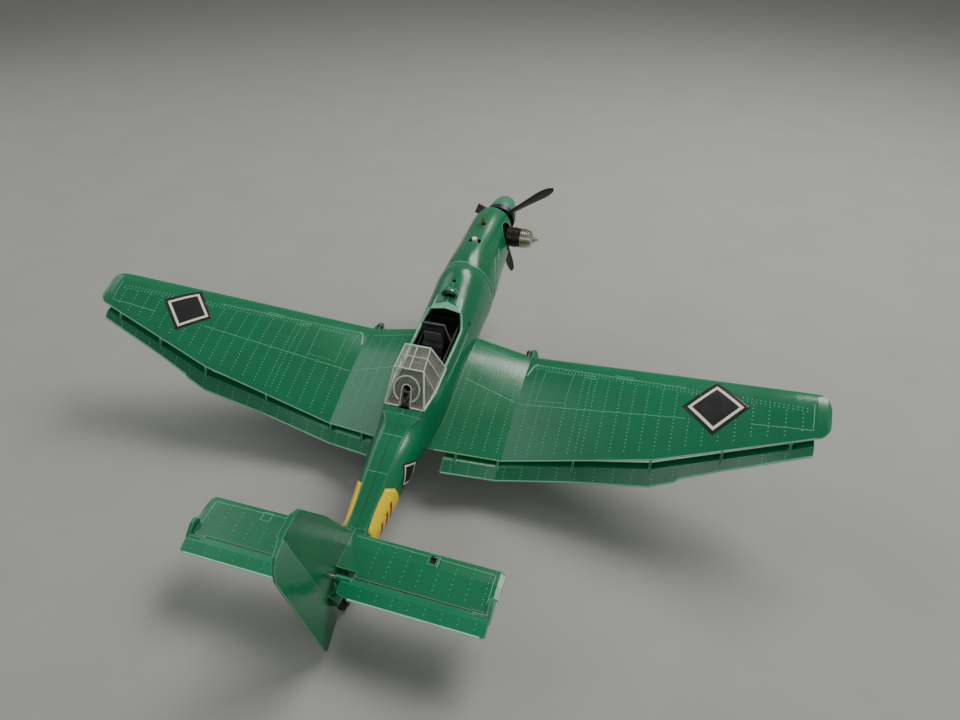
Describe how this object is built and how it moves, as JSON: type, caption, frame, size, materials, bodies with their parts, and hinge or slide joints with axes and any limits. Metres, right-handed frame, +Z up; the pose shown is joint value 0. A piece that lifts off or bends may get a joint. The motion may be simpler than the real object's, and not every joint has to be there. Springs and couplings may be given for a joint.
{
  "type": "tethered model aeroplane",
  "caption": "Moulded plastic tethered flying model of an inverted-gull dive bomber with a small glow engine, spatted wheels and working elevator.",
  "frame": {"origin": "on the ground, under the middle of the whole model's box, which is on its plane of symmetry", "axes": "+X to the right wing tip, +Y forwards along the ground, +Z up; the model sits on its three wheels, nose up 12.75 degrees"},
  "size_m": [0.544, 0.4276, 0.1542],
  "materials": {
    "green_plastic": "satin moulded",
    "black_plastic": "moulded",
    "clear_plastic": "clear moulded",
    "black_alloy": "black oxide",
    "bright_alloy": "machined",
    "steel": "bright",
    "brass": "drawn",
    "cream_plastic": "moulded",
    "tyre_rubber": "moulded"
  },
  "bodies": {
    "airframe": {"bellcrank_post": "steel", "cockpit_insert": "black_plastic", "connecting_rod": "steel", "cowl_half_left": "green_plastic", "cowl_half_right": "green_plastic", "crankcase": "black_alloy", "cylinder": "black_alloy", "engine_bulkhead": "black_plastic", "filler_tube": "brass", "fin": "green_plastic", "flap_strip_left": "green_plastic", "flap_strip_right": "green_plastic", "fuel_tank": "bright_alloy", "fuselage_half_left": "green_plastic", "fuselage_half_right": "green_plastic", "glow_head": "bright_alloy", "glow_plug": "steel", "gun_mount": "black_plastic", "mount_screws": "steel", "piston": "steel", "rear_canopy": "clear_plastic", "siren_cap_left": "black_plastic", "siren_cap_right": "black_plastic", "spat_inner_left": "green_plastic", "spat_inner_right": "green_plastic", "spat_outer_left": "green_plastic", "spat_outer_right": "green_plastic", "stabiliser_left": "green_plastic", "stabiliser_right": "green_plastic", "tail_fork": "black_plastic", "tail_wheel_axle": "steel", "tank_back": "black_plastic", "wheel_axle_left": "steel", "wheel_axle_right": "steel", "wing_joiner": "bright_alloy", "wing_lower_left": "green_plastic", "wing_lower_right": "green_plastic", "wing_screws": "steel", "wing_upper_left": "green_plastic", "wing_upper_right": "green_plastic"},
    "propeller": {"propeller": "black_plastic", "spinner": "green_plastic", "propeller_screw": "steel", "crankshaft": "steel", "drive_plate": "bright_alloy"},
    "wheel_left": {"wheel_tyre_left": "tyre_rubber", "wheel_hub_left": "black_plastic"},
    "wheel_right": {"wheel_tyre_right": "tyre_rubber", "wheel_hub_right": "black_plastic"},
    "tail_wheel": {"tail_wheel": "tyre_rubber"},
    "needle_valve": {"needle_stem": "steel", "needle_knob": "cream_plastic"},
    "bellcrank": {"bellcrank": "black_plastic"},
    "pushrod": {"pushrod": "steel"},
    "elevator": {"elevator_left": "green_plastic", "elevator_right": "green_plastic", "elevator_torque_rod": "steel"}
  },
  "joints": [
    {"name": "propeller_spin", "type": "hinge", "parent": "airframe", "child": "propeller", "pos_m": [0.0035, 0.18529, 0.11535], "axis": [0, 0.9753, 0.2207], "continuous": true},
    {"name": "wheel_left_spin", "type": "hinge", "parent": "airframe", "child": "wheel_left", "pos_m": [-0.068, 0.06355, 0.0145], "axis": [1, 0, 0], "continuous": true},
    {"name": "wheel_right_spin", "type": "hinge", "parent": "airframe", "child": "wheel_right", "pos_m": [0.068, 0.06355, 0.0145], "axis": [1, 0, 0], "continuous": true},
    {"name": "tail_wheel_spin", "type": "hinge", "parent": "airframe", "child": "tail_wheel", "pos_m": [0, -0.15804, 0.006], "axis": [1, 0, 0], "continuous": true},
    {"name": "needle_valve_turn", "type": "hinge", "parent": "airframe", "child": "needle_valve", "pos_m": [0, 0.12181, 0.11227], "axis": [0, -0.2207, 0.9753], "range_deg": [-180, 900]},
    {"name": "bellcrank_turn", "type": "hinge", "parent": "airframe", "child": "bellcrank", "pos_m": [0, 0.00429, 0.05892], "axis": [0, -0.2207, 0.9753], "range_deg": [-20, 20]},
    {"name": "pushrod_pivot", "type": "hinge", "parent": "bellcrank", "child": "pushrod", "pos_m": [-0.01, 0.00429, 0.05892], "axis": [0, -0.2207, 0.9753], "range_deg": [-20, 20]},
    {"name": "elevator_hinge", "type": "hinge", "parent": "airframe", "child": "elevator", "pos_m": [0, -0.16572, 0.04311], "axis": [1, 0, 0], "range_deg": [-17, 17]}
  ],
  "couplings": [
    {"joint": "pushrod_pivot", "follows": "bellcrank_turn", "ratio": -1},
    {"joint": "elevator_hinge", "follows": "bellcrank_turn", "ratio": -0.83}
  ]
}
